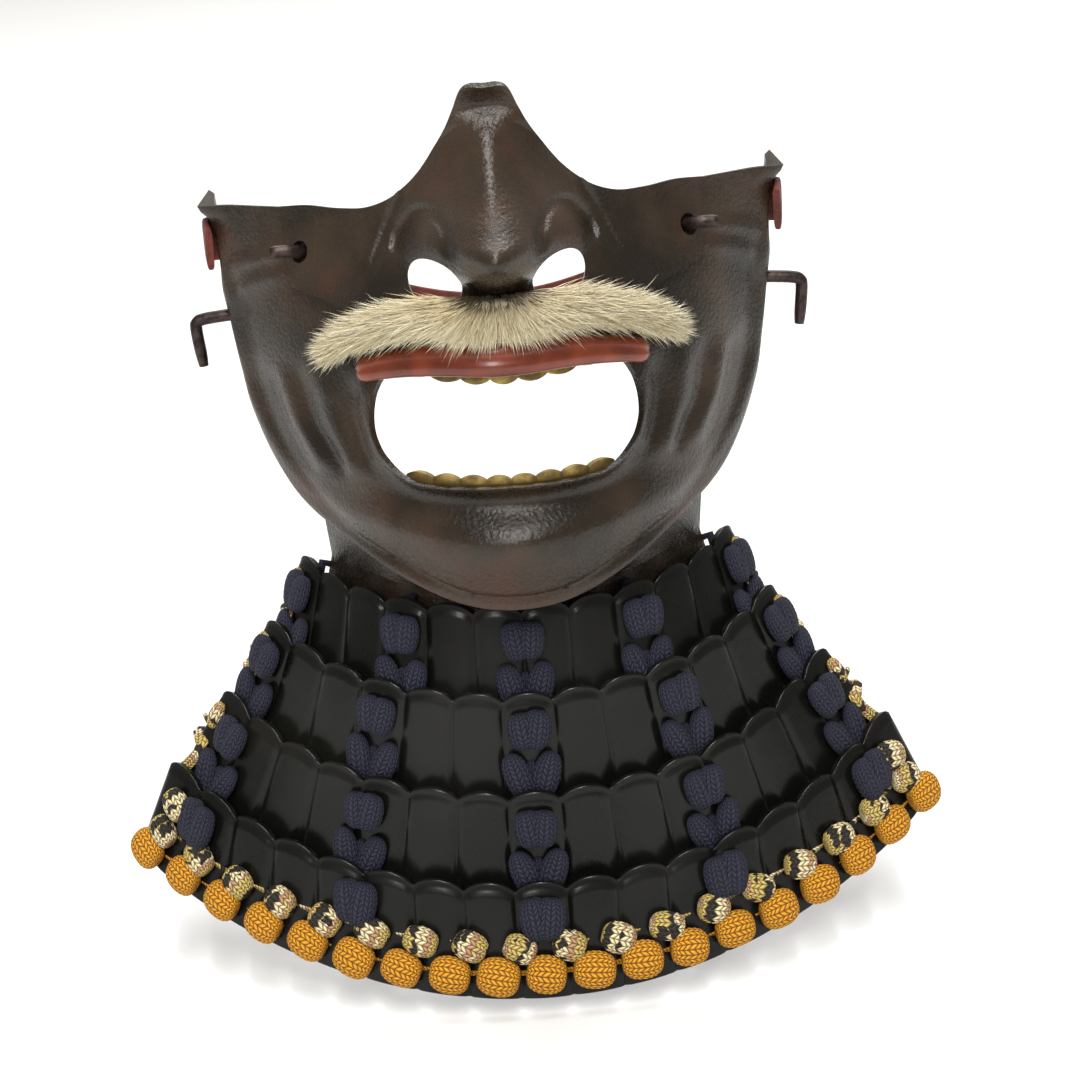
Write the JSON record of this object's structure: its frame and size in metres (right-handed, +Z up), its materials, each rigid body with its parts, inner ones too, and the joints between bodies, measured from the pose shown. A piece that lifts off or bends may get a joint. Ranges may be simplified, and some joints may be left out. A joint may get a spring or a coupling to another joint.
{
  "type": "samurai face guard",
  "caption": "Lacquered iron half mask with a detachable nose, moustache, gilded teeth, leather head strap and a laced throat guard of scalloped lames with braided knots.",
  "frame": {"origin": "inside of the chin cup, where the wearer's chin bears", "axes": "+Z up, the face looks along -Y, +X to the right seen from the front (the wearer's left)"},
  "size_m": [0.241, 0.1711, 0.248],
  "materials": {
    "brown_lacquer": "semi-gloss, finely pitted",
    "dark_iron": "satin",
    "vermilion_lacquer": "gloss lacquer",
    "gilding": "dull gilding",
    "pale_hair": "stiff hair",
    "black_lacquer": "gloss lacquer",
    "navy_braid": "braided silk",
    "mixed_braid": "braided silk in white, gold and black",
    "orange_braid": "braided silk",
    "red_leather": "matt, worn"
  },
  "bodies": {
    "root": {"mask_shell": "brown_lacquer", "nose_plate": "brown_lacquer", "neck_plate": "brown_lacquer", "nose_hook_left": "dark_iron", "nose_hook_right": "dark_iron", "side_peg_left": "dark_iron", "side_peg_right": "dark_iron", "upper_lip": "vermilion_lacquer", "upper_teeth": "gilding", "lower_teeth": "gilding", "moustache": "pale_hair", "lame_1": "black_lacquer", "lame_2": "black_lacquer", "lame_3": "black_lacquer", "lame_4": "black_lacquer", "lacing_column_1": "navy_braid", "lacing_column_2": "navy_braid", "lacing_column_3": "navy_braid", "lacing_column_4": "navy_braid", "lacing_column_5": "navy_braid", "edge_lacing_left": "mixed_braid", "edge_lacing_right": "mixed_braid", "multicolour_knots": "mixed_braid", "orange_knots": "orange_braid", "head_strap": "red_leather"}
  },
  "joints": []
}
